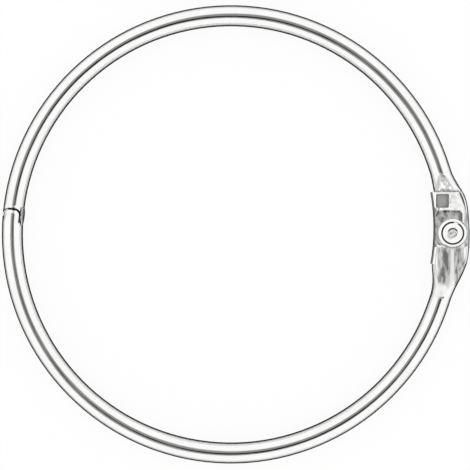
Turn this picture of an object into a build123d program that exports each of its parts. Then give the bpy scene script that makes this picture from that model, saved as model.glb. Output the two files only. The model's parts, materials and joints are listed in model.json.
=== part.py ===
from build123d import *
import os
from math import asin, atan2, cos, degrees, hypot, radians, sin, sqrt

# Hinged snap ring of plated sheet steel, lying flat. Millimetres.
# The origin is the ring's centre, halfway through the tube's thickness. The hinge is at +X, the
# latch at -X, and +Z points out of the face that shows the hinge's window.
# Each half is one blank of thin sheet, rolled into a tube with its seam on the inner side of the
# ring. The lower half's right end is pressed into a fork of two crowned ears, the upper half's
# right end into a flat tongue between them, and one rivet goes through all three.

# Ring and tube
ring_diameter = 76.0        # outside, over the tube
tube_diameter = 3.5
sheet = 0.45
seam_gap = 0.25
cut_spare = 0.1             # how far a cut goes past the wall that it opens

# Hinge. Heights are counted up from the rivet, and widths from it along X.
rivet_out = 0.45            # the rivet stands this far outside the tube's centre line
rivet_rise = 0.2            # and this far above the ring's centre
shank_diameter = 1.9
rivet_head_diameter = 3.7
rivet_head_height = 0.62
rivet_crown = 0.48          # how much of the head's height is its crown
rivet_dimple_diameter = 1.6
rivet_dimple_depth = 0.08
seat_play = 0.02            # round the shank in the ears' holes
pivot_play = 0.06           # round the shank in the tongue's hole
tongue_play = 0.08          # between the tongue and each ear
stop_play = 0.10            # between the closed tongue and the ears' rolled inner edge

ear_top = 6.8               # reach of the ears above the rivet
ear_drop = 5.1              # the blank's wide part starts this far below the rivet
ear_inner = 3.1             # reach of the ears' inner edge, at its middle
ear_bow = 0.52              # its two corners stand this much further in
ear_top_width = 4.6
ear_shoulder = 0.5          # the ears' outer edge slopes in from this height
ear_belly = 0.30            # bulge of that sloping edge
ear_crown = 0.42            # the ears bulge this far beyond their rims
ear_crown_radius = 8.5
crown_middle = -0.35
ear_blank = 0.08            # rim left above the crown before the ears are pressed
ear_rounding = 0.80         # rounding of that rim
web_top = 2.9               # the outer web between the ears starts this far below the rivet

# The tube swells in width and is pressed flat towards the rivet. Each pair of heights is where
# that starts, in the round tube, and where it is complete.
outer_swell = 1.55
inner_swell = 0.85
lower_outer_swell = (-11.3, -3.6)
lower_inner_swell = (-9.6, -4.6)
lower_press = (-10.8, -6.9)
upper_outer_swell = (10.6, 4.6)
upper_press = (9.9, 6.0)
upper_bore_press = (9.9, 7.2)
upper_pressed_half = 0.60   # half thickness where that pressing would be complete
ears_play = 0.15            # between the ears' top edge and the upper half's tube
tongue_fold = 0.40          # rounding of the tongue's folded outer edge
ramp_shares = (0, 0.3, 0.5, 0.7, 1)                 # points along a pressed ramp
oval_shares = (0.25, 0.5, 0.75, 1)                  # ovals along a widened tube

# Marks pressed into the ears: a window, a rib and two hollows in front, a seat for the rivet on both
window_width = 2.1
window_height = 2.3
window_centre = (-1.7, 5.35)
window_corner = 0.25
dish_draft = 35             # degrees that the pressed walls lean out
dish_left = -2.6
dish_right = 1.5
dish_top = 3.6
dish_bottom = -1.85
dish_corner = 0.5
land_diameter = 4.7         # sloping ring left standing round the rivet's head
land_height = 0.18
land_play = 0.08            # between that ring and the head
rib_centre = -0.1           # the rib is the ridge that stands between the two hollows
rib_width = 0.6
hollow_depth = 0.2
hollow_top = -2.45
hollow_margin = 0.5         # strip left between a hollow and the edge beside it
inner_hollow_tip = -8.2
outer_hollow_tip = -6.7

# Latch. Its places are counted from the mouth's highest point, outward and down along the tube.
latch_angle = 173.2
latch_play = 0.20           # between the two halves all round the mouth
mouth_outer_radius = 1.25
mouth_inner_radius = 1.07
lip_length = 2.6
lip_proud = 0.17            # how far the lip stands in from the tube
lip_root = -0.3             # where it starts to stand proud
lip_spread = 8.0            # degrees of the ring that hold the whole lip
nose_diameter = 2.16
nose_length = 3.4
nose_rounding = 0.4

tube_radius = tube_diameter / 2
centre_radius = ring_diameter / 2 - tube_radius
tongue_half = sheet                             # the tongue is the sheet doubled
slot_half = tongue_half + tongue_play           # from mid-plane to an ear's inner face
ear_half = slot_half + sheet                    # and to its outer face
crown_half = ear_half + ear_crown               # and to the top of its crown
upper_end = ear_top + ears_play                 # where the upper half's tube ends
hinge = Location((centre_radius + rivet_out, rivet_rise, 0))
far = 2 * (ear_top + ear_drop)                  # past any detail of the ends


def eased(t):
    """Rise from 0 to 1 with level ends."""
    t = min(max(t, 0.0), 1.0)
    return t * t * (3 - 2 * t)


def circle_x(radius, y):
    """Where a circle about the ring's centre passes the height y of the hinge."""
    return sqrt(radius ** 2 - (y + rivet_rise) ** 2) - hinge.position.X


def grown(y, span):
    """Share of a swelling that is complete at height y."""
    return eased((y - span[0]) / (span[1] - span[0]))


def outer_x(y, span):
    """The hinge's outer silhouette."""
    return circle_x(centre_radius + tube_radius, y) + outer_swell * grown(y, span)


def lower_left(y):
    """The lower half's inner silhouette, below the ears."""
    return circle_x(centre_radius - tube_radius, y) - inner_swell * grown(y, lower_inner_swell)


def lower_right(y):
    return outer_x(y, lower_outer_swell)


def upper_left(y):
    """The upper half's inner silhouette, easing from the tube's to the tongue's."""
    tube_end = circle_x(centre_radius - tube_radius, upper_end)
    shift = tube_end - ear_x(upper_end, sheet + stop_play)
    return circle_x(centre_radius - tube_radius, y) - shift * grown(y, (upper_press[0], upper_end))


def upper_right(y):
    return outer_x(y, upper_outer_swell)


def ear_x(y, inset=0.0):
    """The ears' inner edge, one arc through two corners and a middle, moved outward by inset."""
    half = (ear_top + ear_drop) / 2
    radius = (half ** 2 + ear_bow ** 2) / (2 * ear_bow)
    rise = y - (ear_top - ear_drop) / 2
    return sqrt((radius + inset) ** 2 - rise ** 2) - radius - ear_inner


def ear_arc(low, high, inset=0.0):
    return ThreePointArc(*[(ear_x(y, inset), y) for y in (low, (low + high) / 2, high)])


def curve(place, low, high, inset=0.0):
    """Smooth upright curve through places worked out at five even heights."""
    heights = [low + (high - low) * i / 4 for i in range(5)]
    return Spline(*[(place(y) - inset, y) for y in heights])


def enclosed(*lines):
    """Face inside a closed row of lines and curves."""
    return make_face([edge for line in lines for edge in line.edges()])


def bent_bar(radius, start, end):
    """Round bar bent along the ring's centre line."""
    section = Plane.XZ * Pos(centre_radius, 0) * Circle(radius)
    return Rot(0, 0, start) * revolve(section, Axis.Z, end - start)


def bent_tube(start, end):
    return bent_bar(tube_radius, start, end) - bent_bar(tube_radius - sheet, start, end)


def seam(start, end):
    """The gap where the blank's two edges meet, on the inner side of the ring."""
    outer = centre_radius - tube_radius + sheet + cut_spare
    inner = outer - tube_diameter / 2
    section = Plane.XZ * Pos((outer + inner) / 2, 0) * Rectangle(outer - inner, seam_gap)
    return Rot(0, 0, start) * revolve(section, Axis.Z, end - start)


def ring_angle(y):
    """Angle about the ring's centre of the centre line's point at height y of the hinge."""
    return degrees(asin((y + rivet_rise) / centre_radius))


def widened(start, end, left, right, wall):
    """Loft from the tube's round section through ovals that reach from left to right."""
    first = Plane.XZ * Pos(centre_radius, 0) * Circle(tube_radius - wall)
    sections = [Rot(0, 0, ring_angle(start)) * first]
    for share in oval_shares:
        y = start + share * (end - start)
        width = right(y) - left(y)
        oval = Plane.XZ * Ellipse(width / 2 - wall, tube_radius - wall)
        sections.append(hinge * Pos(left(y) + width / 2, y, 0) * oval)
    return loft(sections)


def dies(low, high, span, radius=None):
    """Space above and below the pressed sheet. With a radius, what is pressed is crowned, else flat."""
    start, end = span
    toward = 1 if end > start else -1
    ramp = [(start + (end - start) * t, high + (low - high) * eased(t)) for t in ramp_shares]
    beyond = end + toward * far
    profile = Plane.YZ * enclosed(
        Spline(*ramp, tangents=[(toward, 0), (toward, 0)]),
        Polyline(ramp[-1], (beyond, low), (beyond, far), (start, far), ramp[0]),
    )
    if radius:
        raised = revolve(Pos(0, 0, radius - low) * profile, Axis.Y, 180)
        upper = Pos(crown_middle, 0, low - radius) * Rot(0, -90, 0) * raised
    else:
        upper = extrude(profile, far, both=True)
    upper = hinge * upper
    return upper + mirror(upper, Plane.XY)


def dish(grow=0.0):
    """Outline of the seat that is pressed down round the rivet."""
    middle = Pos((dish_left + dish_right) / 2, (dish_top + dish_bottom) / 2)
    width = dish_right - dish_left + 2 * grow
    height = dish_top - dish_bottom + 2 * grow
    seat = middle * RectangleRounded(width, height, dish_corner + grow)
    return seat + Circle(land_diameter / 2 + grow)


def lower_hinge_end():
    """Fork of two crowned ears, with its rolled inner edge and its outer web."""
    start = lower_outer_swell[0]
    top_inner = (ear_x(ear_top), ear_top)
    top_outer = (top_inner[0] + ear_top_width, ear_top)
    shoulder = (lower_right(ear_shoulder), ear_shoulder)
    belly = ((top_outer[0] + shoulder[0]) / 2 + ear_belly, (ear_top + ear_shoulder) / 2)
    bottom_inner = (ear_x(-ear_drop), -ear_drop)
    outline = enclosed(
        ear_arc(-ear_drop, ear_top),
        Line(top_inner, (lower_right(ear_top), ear_top)),
        curve(lower_right, -ear_drop, ear_top),
        Line(bottom_inner, (lower_right(-ear_drop), -ear_drop)),
    )
    blank = extrude(outline, crown_half + ear_blank, both=True)
    rims = blank.edges().filter_by(GeomType.CIRCLE) + blank.edges().filter_by(GeomType.BSPLINE)
    blank = fillet(rims, ear_rounding)
    sheared = enclosed(
        ThreePointArc(top_outer, belly, shoulder),
        Polyline(shoulder, (far, ear_shoulder), (far, ear_top), top_outer),
    )
    blank -= extrude(sheared, far, both=True)
    end = lower_inner_swell[1]
    outside = widened(start, end, lower_left, lower_right, 0)
    outside += hinge * blank
    outside -= dies(crown_half, tube_radius, lower_press, ear_crown_radius)

    floor = end - sheet
    above = ear_top + tube_diameter
    slot = enclosed(
        ear_arc(floor, above, sheet),
        Polyline((ear_x(above, sheet), above), (far, above), (far, -web_top),
                 (lower_right(-web_top) - sheet, -web_top)),
        curve(lower_right, floor, -web_top, sheet),
        Line((ear_x(floor, sheet), floor), (lower_right(floor) - sheet, floor)),
    )
    inside = widened(start, end, lower_left, lower_right, sheet)
    inside += hinge * extrude(slot, tube_radius, both=True)
    inside -= dies(crown_half - sheet, tube_radius - sheet, lower_press, ear_crown_radius - sheet)
    pressed = Pos(0, 0, slot_half) * dish(sheet / 2)
    pressed = hinge * extrude(pressed, tube_radius)
    inside -= pressed + mirror(pressed, Plane.XY)
    inside += hinge * extrude(slot, slot_half, both=True)
    return outside - inside


def pressed_in(outline, floor):
    """Space over an outline, with walls that lean out as they rise."""
    return extrude(Pos(0, 0, floor) * outline, tube_radius, taper=-dish_draft)


def ear_marks():
    """What is pressed or cut into the ears, as one tool to take away."""
    hole = Pos(*window_centre, slot_half - tongue_play)
    window = extrude(hole * RectangleRounded(window_width, window_height, window_corner), far)
    seats = pressed_in(dish(), ear_half)
    seats += mirror(seats, Plane.XY)

    rib_left = rib_centre - rib_width / 2
    rib_right = rib_centre + rib_width / 2
    tip = (lower_left(inner_hollow_tip) + 2 * hollow_margin, inner_hollow_tip)
    middle = (inner_hollow_tip + hollow_top) / 2
    inner_hollow = enclosed(
        Polyline((dish_left, hollow_top), (rib_left, hollow_top), (rib_left, middle), tip),
        ThreePointArc(tip, (lower_left(middle) + hollow_margin, middle), (dish_left, hollow_top)),
    )
    tip = (rib_right, outer_hollow_tip)
    middle = (outer_hollow_tip + hollow_top) / 2
    top = (lower_right(hollow_top) - hollow_margin, hollow_top)
    outer_hollow = enclosed(
        Polyline(tip, (rib_right, hollow_top), top),
        ThreePointArc(top, (lower_right(middle) - hollow_margin, middle), tip),
    )
    hollows = hinge * extrude(inner_hollow + outer_hollow, far)
    sunk = dies(crown_half - hollow_depth, tube_radius - hollow_depth, lower_press, ear_crown_radius)
    return hinge * (window + seats) + (hollows & sunk)


def ear_land():
    """Ring left standing on each seat round the rivet's head, sloping up to it."""
    inner = rivet_head_diameter / 2 + land_play
    outer = land_diameter / 2
    sunk = ear_half - sheet / 3
    profile = enclosed(Polyline((inner, sunk), (outer, sunk), (outer, ear_half),
                                (inner, ear_half + land_height), (inner, sunk)))
    land = hinge * revolve(Plane.XZ * profile, Axis.Z)
    return land + mirror(land, Plane.XY)


def mouth_region(shrink=0.0):
    """What the lower half fills at the latch, seen from above, in the mouth's own places."""
    lip_x = sheet - tube_radius
    outer_centre = (tube_radius - mouth_outer_radius, mouth_outer_radius)
    inner_centre = (lip_x + mouth_inner_radius, mouth_inner_radius)
    region = enclosed(
        CenterArc(inner_centre, mouth_inner_radius, 180, 90),
        Line((inner_centre[0], 0), (outer_centre[0], 0)),
        CenterArc(outer_centre, mouth_outer_radius, -90, 90),
        Polyline((tube_radius, mouth_outer_radius), (far, mouth_outer_radius), (far, far), (-far, far),
                 (-far, lip_length), (-tube_radius, lip_length), (lip_x, mouth_inner_radius)),
    )
    return offset(region, -shrink) if shrink else region


def lip():
    """Lip on the inner side of the mouth, standing slightly proud of the tube."""
    lip_x = sheet - tube_radius
    root = (-tube_radius, lip_root)
    tip = (-tube_radius, lip_length)
    outline = enclosed(
        ThreePointArc(root, (-tube_radius - lip_proud, mouth_inner_radius), tip),
        Polyline(tip, (lip_x, mouth_inner_radius), (lip_x, lip_root), root),
    )
    return extrude(outline, tube_radius, both=True)


def nose():
    """Hollow nose on an arc about the rivet, and the space inside it."""
    def place(down):
        angle = radians(latch_angle + degrees(down / centre_radius))
        return centre_radius * cos(angle) - hinge.position.X, centre_radius * sin(angle) - rivet_rise

    root, tip = place(mouth_outer_radius), place(-nose_length)
    path_radius = (hypot(*root) + hypot(*tip)) / 2
    start = degrees(atan2(tip[1], tip[0]))
    sweep = degrees(atan2(root[1], root[0])) - start

    def bar(radius, spare):
        section = Plane.XZ * Pos(path_radius, 0) * Circle(radius)
        return hinge * Rot(0, 0, start - spare) * revolve(section, Axis.Z, sweep + 2 * spare)

    body = bar(nose_diameter / 2, 0)
    tip_edge = body.edges().filter_by(GeomType.CIRCLE).sort_by(Axis.Y)[-1]
    return fillet(tip_edge, nose_rounding), bar(nose_diameter / 2 - sheet, 1)


def lower_half():
    mouth = Rot(0, 0, latch_angle) * Pos(centre_radius, 0, 0)
    shoulder = mouth_region(latch_play)
    around = Pos(0, (lip_length - far) / 2) * Rectangle(2 * far, far + lip_length) - shoulder
    cap = shoulder - Pos(0, sheet) * shoulder
    end_bar = bent_bar(tube_radius, latch_angle, latch_angle + degrees(tube_diameter / centre_radius))
    nose_body, nose_space = nose()

    half = bent_tube(latch_angle, 360 + ring_angle(lower_outer_swell[0])) + lower_hinge_end()
    half -= mouth * extrude(around, far, both=True)
    half += end_bar & (mouth * extrude(cap, far, both=True))
    half = half + nose_body - nose_space
    half -= seam(latch_angle, 360 + ring_angle(ear_top + sheet))
    half = half - ear_marks() + ear_land()
    return half - hinge * Cylinder(shank_diameter / 2 + seat_play, far)


def upper_half():
    mouth = Rot(0, 0, latch_angle) * Pos(centre_radius, 0, 0)
    start = upper_outer_swell[0]
    outside = widened(start, upper_end, upper_left, upper_right, 0)
    outside -= dies(upper_pressed_half, tube_radius, upper_press)
    inside = widened(start, upper_end, upper_left, upper_right, sheet)
    inside -= dies(-sheet / 2, tube_radius - sheet, upper_bore_press)

    inset = sheet + stop_play
    top = upper_end + sheet
    bottom = ear_x(0, inset)
    tongue = enclosed(
        ear_arc(0, top, inset),
        Line((ear_x(top, inset), top), (upper_right(top), top)),
        curve(upper_right, 0, top),
        ThreePointArc((upper_right(0), 0), (0, bottom), (ear_x(0, inset), 0)),
    )
    tongue = extrude(tongue, tongue_half, both=True)
    folded = tongue.edges().filter_by(GeomType.BSPLINE)
    tongue = hinge * fillet(folded, tongue_fold)

    end = latch_angle + degrees(2 * lip_length / centre_radius)
    half = bent_tube(ring_angle(start), end) + (outside - inside) + tongue
    half -= mouth * extrude(mouth_region(), far, both=True)
    swollen = bent_bar(tube_radius + lip_proud, latch_angle - lip_spread, latch_angle + lip_spread)
    half += swollen & (mouth * lip())
    half -= seam(ring_angle((upper_press[0] + upper_end) / 2), end)
    return half - hinge * Cylinder(shank_diameter / 2 + pivot_play, far)


def rivet():
    """Shank with two low crowned heads, the front one with a shallow dimple."""
    radius = rivet_head_diameter / 2
    shank = shank_diameter / 2
    rim = rivet_dimple_diameter / 2

    def crown(r):
        return ear_half + rivet_head_height - rivet_crown * (r / radius) ** 2

    middle = (radius + rim) / 2
    floor = crown(rim) - rivet_dimple_depth
    profile = enclosed(
        ThreePointArc((0, -crown(0)), (radius / 2, -crown(radius / 2)), (radius, -crown(radius))),
        Polyline((radius, -crown(radius)), (radius, -ear_half), (shank, -ear_half), (shank, ear_half),
                 (radius, ear_half), (radius, crown(radius))),
        ThreePointArc((radius, crown(radius)), (middle, crown(middle)), (rim, crown(rim))),
        Polyline((rim, crown(rim)), (rim - rivet_dimple_depth, floor), (0, floor), (0, -crown(0))),
    )
    return hinge * revolve(Plane.XZ * profile, Axis.Z)


os.makedirs("parts", exist_ok=True)
for name, solid in {
    "upper_half_ring": upper_half(),
    "lower_half_ring": lower_half(),
    "hinge_rivet": rivet(),
}.items():
    export_step(solid, f"parts/{name}.step")
    print(name, round(solid.volume, 3), "valid" if solid.is_valid else "INVALID", len(solid.solids()))
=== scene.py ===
import json
import math

import bpy
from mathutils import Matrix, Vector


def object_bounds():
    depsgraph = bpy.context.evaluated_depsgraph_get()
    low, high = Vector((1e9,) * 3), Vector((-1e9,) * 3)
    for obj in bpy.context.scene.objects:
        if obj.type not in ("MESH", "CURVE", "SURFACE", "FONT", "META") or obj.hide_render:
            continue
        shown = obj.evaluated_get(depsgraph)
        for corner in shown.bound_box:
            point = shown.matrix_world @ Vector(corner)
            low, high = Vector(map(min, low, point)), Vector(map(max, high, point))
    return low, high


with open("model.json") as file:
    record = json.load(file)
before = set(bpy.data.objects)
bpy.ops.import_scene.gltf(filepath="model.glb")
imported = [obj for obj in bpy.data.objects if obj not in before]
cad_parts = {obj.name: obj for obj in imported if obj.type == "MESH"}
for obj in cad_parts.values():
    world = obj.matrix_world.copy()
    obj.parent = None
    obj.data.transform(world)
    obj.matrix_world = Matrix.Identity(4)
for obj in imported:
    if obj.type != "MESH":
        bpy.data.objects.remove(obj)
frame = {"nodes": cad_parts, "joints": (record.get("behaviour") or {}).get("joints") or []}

# A hinged snap ring of plated sheet steel, seen from straight above on a pale table. The camera and
# the floor are in metres. The marks on the metal are in millimetres, as its sheet is thin.
cad_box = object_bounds()
millimetre = 0.001
hinge = [place / millimetre for place in frame["joints"][0]["pos_m"]]

# Camera, straight above with the ring slightly off the picture's middle
image_size = 470                # pixels, both ways
metres_per_pixel = 0.0001658
ring_centre_pixel = (231.0, 234.4)
camera_height = 0.60
camera_clip = (0.01, 10.0)
sensor_width = 36.0             # millimetres

# Light, as shares of plain white
# Two patches of the sky are dark, one in the other, where the camera hangs. Their angles are in
# degrees, and their centre and reach are counted off the zenith.
sky_level = 1.17
shade = dict(level=0.33, centre=(-2.0, -3.0), reach=(27.0, 20.0), turn=64.0, soft=0.25)
core = dict(level=0.0, centre=(3.0, -7.0), reach=(10.0, 8.0), turn=20.0, soft=0.4)
least_rise = 0.01               # keeps the sky's places finite at the horizon

# Floor, mirrored darker near the ring, where less of the sky reaches it
floor_reach = 0.6
floor_colour = 0.95
floor_glow = 0.92               # share of the floor that the camera sees as plain white
mirrored_glow = 0.20            # and that the metal mirrors as such
shadow_reach = 0.012
shadow_span = (0.84, 0.95)      # openness of the sky at which that shadow starts and ends
shadow_level = 0.03             # what is left of the floor's light in it
shadow_samples = 8

# Plate
plate = 0.84                    # share of the light that it throws back
plate_warmth = 0.985            # blue against red
edge_tint = 0.1                 # tint of what it mirrors at a grazing angle
grazing = (0.35, 0.62)          # from where to where painted shade darkens its colour as it turns away
grazing_share = 0.35

# Brightness as a share of the plate's, and roughness
# They are laid on in this order, and the first is everywhere. A mottled place gives its pattern,
# the span of the pattern over which it changes, and its levels at both ends.
tube_brightness = dict(
    everywhere=("cloud", (0.35, 0.65), (0.96, 1.0)),
    # painted sheen: the ears' dull flat faces painted lighter than the plate
    satin_and_sheen=("mottle", (0.35, 0.60), (1.05, 1.18)),
    # painted shade: the hollows mottled darker
    hollow=("dies", (0.36, 0.64), (0.28, 0.84)),
    # painted shade: the seat round the rivet darker
    seat=("broad", (0.36, 0.60), (0.30, 0.75)),
    pressed=("dies", (0.52, 0.66), (0.62, 1.1)),
    # painted highlight along the ridge
    rib=1.18,
    # painted shade on the upper half's end seen through the window
    tongue=0.62,
    # painted light over the gap's shade
    joint_gap=1.18,
    # painted shade: a dark mottled line along the seat's upper wall
    seat_wall=("mottle", (0.45, 0.60), (0.143, 0.75)),
    # painted shade: a short slanting dark line beside the window
    slanting_shade=0.18,
    # painted shade along the hinge's rims
    rims=0.19,
    # painted shade in the gap round the rivet's head
    crevice=0.06,
    # painted shade on the lip at the latch's mouth
    lip=0.45,
    # painted shade inside the bore, the nose and on the cut edges
    inside=0.36,
    # painted shade: a dark line beside the latch's gap
    mouth_edge=0.06,
)
tube_roughness = dict(
    everywhere=("gloss", (0.3, 0.7), (0.06, 0.13)),
    pressed=("mottle", (0.35, 0.65), (0.15, 0.45)),
    satin_and_sheen=("mottle", (0.35, 0.65), (0.45, 0.8)),
    seat=("mottle", (0.35, 0.65), (0.40, 0.60)),
    tongue=0.5,
    rib=0.5,
    joint_gap=0.8,
    hollow=("dies", (0.35, 0.65), (0.40, 0.7)),
)
rivet_brightness = dict(
    everywhere=("struck", (0.35, 0.65), (0.94, 1.04)),
    spots=0.55,
    # painted shade on the dimple's upper wall
    dimple_wall=0.12,
    # painted shade: a dark ring round the head's rim, left out over one stretch of its turn
    rim=0.06,
)
rivet_roughness = dict(
    everywhere=("struck", (0.35, 0.65), (0.14, 0.30)),
    dimple=0.65,
)

# Patterns
# Lumps give their size in millimetres and their detail, and their roughness where it isn't plain.
# Streaks give their width and length in millimetres.
tube_lumps = dict(
    waves=(7.0, 1.0),
    cloud=(4.0, 3.0),
    gloss=(1.5, 3.0),
    mottle=(0.9, 3.0, 0.65),
    fine=(0.35, 2.0, 0.6),
    grain=(0.10, 2.0),
)
rivet_lumps = (0.5, 3.0, 0.6)
die_streaks = dict(dies=(0.45, 2.2), broad=(0.9, 1.6))
roller_streaks = (0.35, 12.0)

# Depth of the relief in millimetres, each on top of the one before
tube_relief = dict(waves=0.10, rolled_in=-0.10, rollers=0.005, dies=0.03, fine=0.004, grain=0.0015)
rivet_relief = 0.012

# Tube
centre_radius = 36.25
tube_radius = 1.75
inside_depth = (0.06, 0.02)     # below the tube's surface, where its inside starts

# Mouth of the latch
# Across is counted outward from the tube's centre line and down along the tube, both from the
# mouth's highest point. A span is where a mark starts and where it is complete.
mouth_turn = 173.2              # degrees about the ring's axis
mouth_side = (-30.0, -28.0)     # span of X that ends the latch's marks
mouth_outer = dict(across=0.50, radius=1.25)
mouth_inner = dict(across=-0.23, radius=1.07)
mouth_gap = 0.20
mouth_edge = dict(from_gap=(0.14, 0.22), down=(2.1, 2.5))
mouth_roll = dict(from_gap=(0.1, 0.8), down=(1.5, 2.5))
lip = dict(past_gap=(0.0, 0.05), across=(-1.25, -1.15), down=(-0.3, 2.7, 0.2))

# Rivet, outward from its middle
# Out and up are counted from it along X and Y. A stretch is its start, its end and how softly it
# ends, and a span is as above.
land_radius = 2.35
head_radius = 1.85
dimple_radius = 0.80
crevice = (head_radius + 0.02, head_radius + 0.08)
head_rim = (head_radius - 0.26, head_radius - 0.18)
rim_shade_gap = (1.05, 1.45, 0.1)    # stretch of its turn, in radians, over which the rim's painted shade is left out
dimple = (dimple_radius - 0.10, dimple_radius)
dimple_wall = (dimple_radius - 0.16, dimple_radius + 0.10, 0.05)
dimple_shaded = (0.15, 0.45)    # span of up over which painted shade darkens its wall
dimple_spots = (0.52, 0.60)     # span of the pattern

# Hinge, with out and up counted from the rivet, and heights from the middle plane
hinge_side = (30.0, 33.0)       # span of X from the round tube to the hinge
ears_top = 6.9
ears = dict(up=(-10.5, ears_top, 0.1))
ears_face = (0.85, 0.95)        # span of height in which their faces start
satin_and_sheen = dict(out=(-2.7, 1.9, 0.3))
satin_start = (land_radius, land_radius + 0.10)
hollow_ends = (-8.4, -2.4)
hollows = dict(out=(-2.4, 2.1, 0.4), up=(*hollow_ends, 0.5))
rib = dict(out=(-0.42, 0.22, 0.08), up=(*hollow_ends, 0.15))
seat = dict(up=(-2.3, 4.2, 0.1))
seat_start = (land_radius - 0.05, land_radius + 0.05)
seat_floor = (1.04, 1.14)       # span of height in which its floor ends
seat_wall = dict(out=(-1.6, 1.35, 0.15), up=(3.42, 3.72, 0.08))
tongue = dict(out=(-3.0, 0.0, 0.3), up=(-3.0, ears_top, 0.1))
tongue_face = (0.48, 0.52)      # span of height in which its face ends
joint_gap = dict(up=(6.76, 6.99, 0.03))
press = dict(up=(ears_top, 9.9, 0.1))
press_middle = centre_radius - 0.1
press_rim = (-0.35, 0.05)       # span past the arch's outline
# where the slanting line of painted shade lies, beside the window
slanting_shade = dict(centre=(-2.52, 3.45), turn=68.0, along=(-0.75, 0.75, 0.1), across=(-0.08, 0.08, 0.03))

# Rims on both sides of the hinge
# The ears' inner edge and their sheared outer edge are arcs, and the outer side swells beyond the
# tube's.
inner_edge = dict(centre=(-37.40, 0.85), radius=34.30)
inner_rim = dict(width=(0.22, 0.32), up=(-5.1, ears_top, 0.05))
sheared_edge = dict(centre=(-15.99, -1.81), radius=18.97)
sheared_rim = dict(width=(0.04, 0.12), up=(1.5, 6.6, 0.5), share=0.5)
outer_swell = 1.55
outer_swell_spans = ((-11.3, -3.6), (4.6, 10.6))
outer_rim = dict(width=(-0.32, -0.22), up=(-9.0, ears_top, 0.5))


def new_material(name):
    material = bpy.data.materials.new(name)
    material.use_nodes = True
    material.node_tree.nodes.clear()
    return material


class Nodes:
    """Short way to add and link shader nodes. A mask is 1 where it holds and 0 elsewhere."""

    def __init__(self, tree):
        self.tree = tree

    def add(self, kind, **settings):
        node = self.tree.nodes.new(kind)
        for name, value in settings.items():
            setattr(node, name, value)
        return node

    def set(self, socket, value):
        if isinstance(value, bpy.types.NodeSocket):
            self.tree.links.new(value, socket)
        else:
            socket.default_value = value

    def filled(self, node, *values):
        """The node's first output, with its first inputs filled in."""
        for socket, value in zip(node.inputs, values):
            self.set(socket, value)
        return node.outputs[0]

    def math(self, operation, *values):
        return self.filled(self.add("ShaderNodeMath", operation=operation), *values)

    def vector(self, x, y, z):
        return self.filled(self.add("ShaderNodeCombineXYZ"), x, y, z)

    def split(self, vector):
        node = self.add("ShaderNodeSeparateXYZ")
        self.set(node.inputs[0], vector)
        return node.outputs

    def length(self, x, y):
        squares = [self.math("MULTIPLY", side, side) for side in (x, y)]
        return self.math("SQRT", self.math("ADD", *squares))

    def turned(self, x, y, degrees):
        """The places along and across a direction that is turned from X."""
        turn = math.radians(degrees)
        along = self.math("ADD", self.math("MULTIPLY", x, math.cos(turn)),
                          self.math("MULTIPLY", y, math.sin(turn)))
        across = self.math("SUBTRACT", self.math("MULTIPLY", y, math.cos(turn)),
                           self.math("MULTIPLY", x, math.sin(turn)))
        return along, across

    def past_circle(self, x, y, circle):
        """How far a place lies outside a circle."""
        beside = self.math("SUBTRACT", x, circle["centre"][0])
        above = self.math("SUBTRACT", y, circle["centre"][1])
        return self.math("SUBTRACT", self.length(beside, above), circle["radius"])

    def all(self, *masks):
        """Where every mask holds."""
        share = masks[0]
        for mask in masks[1:]:
            share = self.math("MULTIPLY", share, mask)
        return share

    def any(self, *masks):
        """Where the strongest mask holds."""
        share = masks[0]
        for mask in masks[1:]:
            share = self.math("MAXIMUM", share, mask)
        return share

    def outside(self, mask):
        return self.math("SUBTRACT", 1.0, mask)

    def level(self, value, span, levels):
        """Smooth step between two levels as the value crosses a span."""
        node = self.add("ShaderNodeMapRange", interpolation_type="SMOOTHSTEP")
        return self.filled(node, value, *span, *levels)

    def rise(self, value, span):
        return self.level(value, span, (0.0, 1.0))

    def fall(self, value, span):
        return self.level(value, span, (1.0, 0.0))

    def within(self, value, low, high, soft):
        """Mask of a stretch with soft ends."""
        started = self.rise(value, (low - soft, low + soft))
        not_ended = self.fall(value, (high - soft, high + soft))
        return self.all(started, not_ended)

    def change(self, value, mask, other):
        """The value, changed to the other where the mask holds."""
        step = self.math("SUBTRACT", other, value)
        return self.math("ADD", value, self.math("MULTIPLY", step, mask))

    def laid(self, finish, masks, patterns):
        """A finish, each of its levels laid where the mask of the same name holds."""
        result = None
        for place, level in finish.items():
            if not isinstance(level, float):
                pattern, span, levels = level
                level = self.level(patterns[pattern], span, levels)
            result = level if result is None else self.change(result, masks[place], level)
        return result

    def noise(self, vector, size, detail=2.0, roughness=0.5):
        """Smooth noise about 0.5 whose lumps are about the given size."""
        node = self.add("ShaderNodeTexNoise")
        self.set(node.inputs["Vector"], vector)
        self.set(node.inputs["Scale"], 1 / size)
        self.set(node.inputs["Detail"], detail)
        self.set(node.inputs["Roughness"], roughness)
        return node.outputs["Fac"]

    def bump(self, height, depth, normal=None):
        """Relief whose depth is in millimetres, on top of another."""
        node = self.add("ShaderNodeBump")
        self.set(node.inputs["Height"], height)
        self.set(node.inputs["Distance"], depth * millimetre)
        self.set(node.inputs["Strength"], 1.0)
        if normal is not None:
            self.set(node.inputs["Normal"], normal)
        return node.outputs["Normal"]


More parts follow.
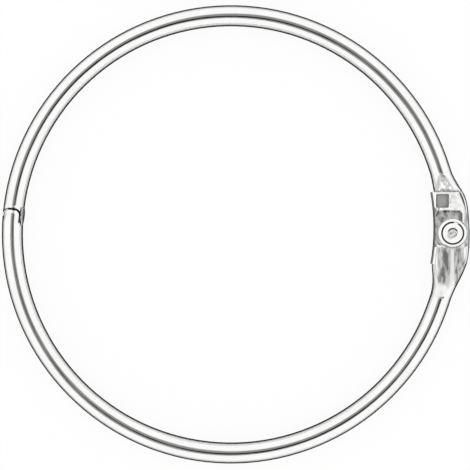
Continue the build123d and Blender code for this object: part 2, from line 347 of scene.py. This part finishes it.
class Surface:
    """Places on the ring in millimetres, from its own coordinates, with its patterns and masks."""

    def __init__(self, nodes):
        self.nodes = nodes
        scale = nodes.add("ShaderNodeVectorMath", operation="SCALE")
        nodes.set(scale.inputs[0], nodes.add("ShaderNodeTexCoord").outputs["Object"])
        scale.inputs["Scale"].default_value = 1 / millimetre
        self.place = scale.outputs[0]
        self.x, self.y, self.z = nodes.split(self.place)
        self.height = nodes.math("ABSOLUTE", self.z)
        self.out = nodes.math("SUBTRACT", self.x, hinge[0])
        self.up = nodes.math("SUBTRACT", self.y, hinge[1])
        self.from_rivet = nodes.length(self.out, self.up)
        self.from_axis = nodes.length(self.x, self.y)
        self.on_hinge = nodes.rise(self.x, hinge_side)
        self.on_tube = nodes.fall(self.x, hinge_side)

    def lumpy(self, *lumps):
        return self.nodes.noise(self.place, *lumps)

    def from_dies(self, width, length):
        """Noise drawn out along the hinge, as the dies leave it."""
        nodes = self.nodes
        along = nodes.math("MULTIPLY", self.up, width / length)
        return nodes.noise(nodes.vector(self.out, along, self.z), width)

    def from_rollers(self, width, length):
        """Noise drawn out along the tube, as the rollers leave it."""
        nodes = self.nodes
        turn = nodes.math("ARCTAN2", self.y, self.x)
        along = nodes.math("MULTIPLY", turn, centre_radius * width / length)
        return nodes.noise(nodes.vector(along, self.from_axis, self.z), width, 1.0)

    def box(self, **stretches):
        """Where every named place lies within its stretch."""
        nodes = self.nodes
        masks = [nodes.within(getattr(self, name), *stretch) for name, stretch in stretches.items()]
        return nodes.all(*masks)

    def inside(self):
        """The bore, the nose and the sheet's cut edges, all below the tube's outer surface, darkened
        with painted shade.
        """
        nodes = self.nodes
        from_line = nodes.length(nodes.math("SUBTRACT", self.from_axis, centre_radius), self.z)
        start = [tube_radius - depth for depth in inside_depth]
        return nodes.all(nodes.fall(from_line, start), self.on_tube)

    def ear(self):
        """The ears' outer faces."""
        nodes = self.nodes
        return nodes.all(nodes.rise(self.height, ears_face), self.on_hinge, self.box(**ears))

    def satin_and_sheen(self):
        """The flat middle of the ears' faces, which the die leaves dull, with a painted sheen that
        lifts it above the plate's brightness.
        """
        nodes = self.nodes
        return nodes.all(self.ear(), self.box(**satin_and_sheen), nodes.rise(self.from_rivet, satin_start))

    def rib(self):
        """The ridge between the two hollows, painted lighter as a highlight."""
        return self.nodes.all(self.box(**rib), self.ear())

    def hollow(self):
        """The two hollows on both sides of the rib, mottled with painted shade."""
        nodes = self.nodes
        return nodes.all(self.box(**hollows), nodes.outside(self.rib()), self.ear())

    def seat(self):
        """The floor of the seat pressed down round the rivet, darkened with painted shade."""
        nodes = self.nodes
        return nodes.all(nodes.fall(self.height, seat_floor), self.ear(), self.box(**seat),
                         nodes.rise(self.from_rivet, seat_start))

    def seat_wall(self):
        """The seat's upper wall, with a mottled dark line of painted shade."""
        return self.nodes.all(self.box(**seat_wall), self.ear())

    def tongue(self):
        """The upper half's flat end between the ears, where the window shows it, darkened with painted
        shade.
        """
        nodes = self.nodes
        return nodes.all(nodes.fall(self.height, tongue_face), self.box(**tongue))

    def joint_gap(self):
        """What shows between the ears' top edge and the upper half's tube, painted light so that the
        gap's shade fades.
        """
        return self.nodes.all(self.box(**joint_gap), self.on_hinge)

    def pressed(self):
        """The pointed arch where the upper half's tube is pressed down towards the ears."""
        nodes = self.nodes
        sideways = nodes.math("ABSOLUTE", nodes.math("SUBTRACT", self.from_axis, press_middle))
        below_tip = nodes.math("SUBTRACT", press["up"][1], self.up)
        half_width = nodes.math("SQRT", nodes.math("MAXIMUM", below_tip, 0.0))
        arch = nodes.fall(nodes.math("SUBTRACT", sideways, half_width), press_rim)
        return nodes.all(arch, self.on_hinge, self.box(**press))

    def slanting_shade(self):
        """A short slanting dark line of painted shade beside the window."""
        nodes = self.nodes
        out = nodes.math("SUBTRACT", self.out, slanting_shade["centre"][0])
        up = nodes.math("SUBTRACT", self.up, slanting_shade["centre"][1])
        along, across = nodes.turned(out, up, slanting_shade["turn"])
        length = nodes.within(along, *slanting_shade["along"])
        width = nodes.within(across, *slanting_shade["across"])
        return nodes.all(length, width, self.ear())

    def rims(self):
        """The rolled and sheared rims along both sides of the hinge, darkened with painted shade."""
        nodes = self.nodes
        inner = nodes.past_circle(self.out, self.up, inner_edge)
        inner = nodes.all(nodes.fall(inner, inner_rim["width"]), self.box(up=inner_rim["up"]))
        sheared = nodes.math("ABSOLUTE", nodes.past_circle(self.out, self.up, sheared_edge))
        sheared = nodes.all(nodes.fall(sheared, sheared_rim["width"]), self.box(up=sheared_rim["up"]),
                            sheared_rim["share"])
        below, above = outer_swell_spans
        swell = nodes.all(nodes.rise(self.up, below), nodes.fall(self.up, above), outer_swell)
        side = nodes.math("ADD", swell, centre_radius + tube_radius)
        outer = nodes.rise(nodes.math("SUBTRACT", self.from_axis, side), outer_rim["width"])
        outer = nodes.all(outer, self.box(up=outer_rim["up"]))
        return nodes.all(nodes.any(inner, outer, sheared), self.on_hinge)

    def crevice(self):
        """The gap round the rivet's head, darkened with painted shade."""
        return self.nodes.all(self.nodes.fall(self.from_rivet, crevice), self.ear())


class Mouth:
    """Places about the latch's mouth, and its masks. Past_gap is positive on the upper half."""

    def __init__(self, at):
        self.nodes = nodes = at.nodes
        outward, self.down = nodes.turned(at.x, at.y, mouth_turn)
        self.across = nodes.math("SUBTRACT", outward, centre_radius)
        self.beside = nodes.fall(at.x, mouth_side)
        sides = [self.past_corner(mouth_outer, 1), self.past_corner(mouth_inner, -1)]
        self.past_gap = nodes.math("MAXIMUM", *sides)
        self.from_gap = nodes.math("ABSOLUTE", nodes.math("ADD", self.past_gap, mouth_gap / 2))

    def past_corner(self, corner, way):
        """Distance from an outline that runs along the tube and turns over one round corner."""
        nodes = self.nodes
        beyond = nodes.math("MULTIPLY", nodes.math("SUBTRACT", self.across, corner["across"]), way)
        above = nodes.math("SUBTRACT", corner["radius"], self.down)
        reach = nodes.length(nodes.math("MAXIMUM", beyond, 0.0), nodes.math("MAXIMUM", above, 0.0))
        return nodes.math("SUBTRACT", reach, corner["radius"])

    def beside_gap(self, from_gap, down):
        nodes = self.nodes
        return nodes.all(nodes.fall(self.from_gap, from_gap), self.beside, nodes.fall(self.down, down))

    # The lip at the latch's mouth, darkened with painted shade.
    def lip(self):
        nodes = self.nodes
        return nodes.all(nodes.rise(self.past_gap, lip["past_gap"]), self.beside,
                         nodes.within(self.down, *lip["down"]), nodes.fall(self.across, lip["across"]))


def shaded_plate(nodes, brightness, roughness, normal):
    """Plate of the given brightness, roughness and relief, with painted shade darkening its colour
    where it turns away from the camera.
    """
    shader = nodes.add("ShaderNodeBsdfPrincipled")
    shader.inputs["Metallic"].default_value = 1.0
    shader.inputs["Specular Tint"].default_value = (edge_tint, edge_tint, edge_tint, 1.0)
    facing = nodes.add("ShaderNodeLayerWeight").outputs["Facing"]
    turned_away = nodes.level(facing, grazing, (plate, plate * grazing_share))
    level = nodes.math("MULTIPLY", brightness, turned_away)
    blue = nodes.math("MULTIPLY", level, plate_warmth)
    colour = nodes.filled(nodes.add("ShaderNodeCombineColor"), level, level, blue)
    nodes.set(shader.inputs["Base Color"], colour)
    nodes.set(shader.inputs["Roughness"], roughness)
    nodes.set(shader.inputs["Normal"], normal)
    output = nodes.add("ShaderNodeOutputMaterial")
    nodes.set(output.inputs["Surface"], shader.outputs[0])


def plated_tube():
    """Bright plate on rolled steel, satin and mottled where the hinge was pressed, with painted shade
    and painted highlights laid on it.
    """
    material = new_material("plated_tube")
    nodes = Nodes(material.node_tree)
    at = Surface(nodes)
    mouth = Mouth(at)
    patterns = {name: at.lumpy(*lumps) for name, lumps in tube_lumps.items()}
    patterns.update({name: at.from_dies(*size) for name, size in die_streaks.items()})
    masks = dict(
        satin_and_sheen=at.satin_and_sheen(),
        rib=at.rib(),
        hollow=at.hollow(),
        seat=at.seat(),
        seat_wall=at.seat_wall(),
        tongue=at.tongue(),
        joint_gap=at.joint_gap(),
        pressed=at.pressed(),
        slanting_shade=at.slanting_shade(),
        rims=at.rims(),
        crevice=at.crevice(),
        lip=mouth.lip(),
        inside=at.inside(),
        mouth_edge=mouth.beside_gap(**mouth_edge),
    )
    worked = nodes.any(at.ear(), masks["pressed"])
    heights = dict(
        waves=patterns["waves"],
        rolled_in=mouth.beside_gap(**mouth_roll),
        rollers=nodes.all(at.from_rollers(*roller_streaks), at.on_tube),
        dies=nodes.all(patterns["dies"], worked),
        fine=nodes.all(patterns["fine"], worked),
        grain=patterns["grain"],
    )
    normal = None
    for name, depth in tube_relief.items():
        normal = nodes.bump(heights[name], depth, normal)
    bright = nodes.laid(tube_brightness, masks, patterns)
    rough = nodes.laid(tube_roughness, masks, patterns)
    shaded_plate(nodes, bright, rough, normal)
    return material


def plated_rivet():
    """The rivet's head, polished by its set, with painted shade round its rim and on the dimple's
    upper wall, and grey spots in the dimple.
    """
    material = new_material("plated_rivet")
    nodes = Nodes(material.node_tree)
    at = Surface(nodes)
    struck = at.lumpy(*rivet_lumps)
    in_dimple = nodes.fall(at.from_rivet, dimple)
    shade_gap = nodes.within(nodes.math("ARCTAN2", at.up, at.out), *rim_shade_gap)
    masks = dict(
        dimple=in_dimple,
        spots=nodes.all(in_dimple, nodes.rise(struck, dimple_spots)),
        dimple_wall=nodes.all(at.box(from_rivet=dimple_wall), nodes.rise(at.up, dimple_shaded)),
        rim=nodes.all(nodes.rise(at.from_rivet, head_rim), nodes.outside(shade_gap)),
    )
    patterns = dict(struck=struck)
    bright = nodes.laid(rivet_brightness, masks, patterns)
    rough = nodes.laid(rivet_roughness, masks, patterns)
    shaded_plate(nodes, bright, rough, nodes.bump(struck, rivet_relief))
    return material


def dress(node, material):
    for slot in frame["nodes"][node].material_slots:
        slot.material = material


def floor_material():
    """Pale table. The camera sees it nearly white, and the metal mirrors the ring's shadow on it."""
    material = new_material("floor")
    nodes = Nodes(material.node_tree)
    path = nodes.add("ShaderNodeLightPath")
    mirrored = nodes.any(path.outputs["Is Glossy Ray"], path.outputs["Is Transmission Ray"])
    near = nodes.add("ShaderNodeAmbientOcclusion", samples=shadow_samples)
    near.inputs["Distance"].default_value = shadow_reach
    open_sky = nodes.level(near.outputs["AO"], shadow_span, (shadow_level, 1.0))
    lit = nodes.change(1.0, mirrored, open_sky)
    matte = nodes.add("ShaderNodeBsdfDiffuse")
    level = nodes.math("MULTIPLY", lit, floor_colour)
    nodes.set(matte.inputs["Color"], nodes.vector(level, level, level))
    glow = nodes.add("ShaderNodeEmission")
    seen = nodes.all(path.outputs["Is Camera Ray"], floor_glow)
    share = nodes.any(seen, nodes.all(mirrored, mirrored_glow, lit))
    mix = nodes.filled(nodes.add("ShaderNodeMixShader"), share, matte.outputs[0], glow.outputs[0])
    output = nodes.add("ShaderNodeOutputMaterial")
    nodes.set(output.inputs["Surface"], mix)
    return material


def floor():
    """A plain square that the ring lies on."""
    height = cad_box[0][2]
    signs = ((-1, -1), (1, -1), (1, 1), (-1, 1))
    corners = [(x * floor_reach, y * floor_reach, height) for x, y in signs]
    mesh = bpy.data.meshes.new("floor")
    mesh.from_pydata(corners, [], [range(len(corners))])
    mesh.materials.append(floor_material())
    plane = bpy.data.objects.new("floor", mesh)
    bpy.context.scene.collection.objects.link(plane)


def sky_patch(nodes, east, north, patch):
    """Mask of an oval patch of the sky with a soft rim."""
    centre_east, centre_north = [math.tan(math.radians(angle)) for angle in patch["centre"]]
    sides = nodes.turned(nodes.math("SUBTRACT", east, centre_east),
                         nodes.math("SUBTRACT", north, centre_north), patch["turn"])
    reach = [math.tan(math.radians(angle)) for angle in patch["reach"]]
    shares = [nodes.math("DIVIDE", side, half) for side, half in zip(sides, reach)]
    return nodes.fall(nodes.length(*shares), (1 - patch["soft"], 1 + patch["soft"]))


def light():
    """A white tent with the camera's dark patch overhead."""
    world = bpy.data.worlds.new("studio")
    bpy.context.scene.world = world
    world.use_nodes = True
    world.node_tree.nodes.clear()
    nodes = Nodes(world.node_tree)
    x, y, z = nodes.split(nodes.add("ShaderNodeTexCoord").outputs["Generated"])
    rise = nodes.math("MAXIMUM", z, least_rise)
    east = nodes.math("DIVIDE", x, rise)
    north = nodes.math("DIVIDE", y, rise)
    above = nodes.math("GREATER_THAN", z, 0.0)
    level = sky_level
    for patch in (shade, core):
        mask = nodes.all(sky_patch(nodes, east, north, patch), above)
        level = nodes.change(level, mask, patch["level"])
    backdrop = nodes.add("ShaderNodeLightPath").outputs["Is Camera Ray"]
    background = nodes.add("ShaderNodeBackground")
    background.inputs["Color"].default_value = (1.0, 1.0, 1.0, 1.0)
    nodes.set(background.inputs["Strength"], nodes.change(level, backdrop, 1.0))
    output = nodes.add("ShaderNodeOutputWorld")
    nodes.set(output.inputs["Surface"], background.outputs[0])


def camera():
    data = bpy.data.cameras.new("camera")
    data.sensor_width = sensor_width
    data.lens = sensor_width * camera_height / (image_size * metres_per_pixel)
    data.clip_start, data.clip_end = camera_clip
    middle = image_size / 2
    x = (middle - ring_centre_pixel[0]) * metres_per_pixel
    y = (ring_centre_pixel[1] - middle) * metres_per_pixel
    view = bpy.data.objects.new("camera", data)
    view.location = (x, y, camera_height)
    bpy.context.scene.collection.objects.link(view)
    bpy.context.scene.camera = view


tube = plated_tube()
dress("upper_half_ring", tube)
dress("lower_half_ring", tube)
dress("hinge_rivet", plated_rivet())
floor()
light()
camera()
bpy.context.scene.view_settings.view_transform = "Standard"
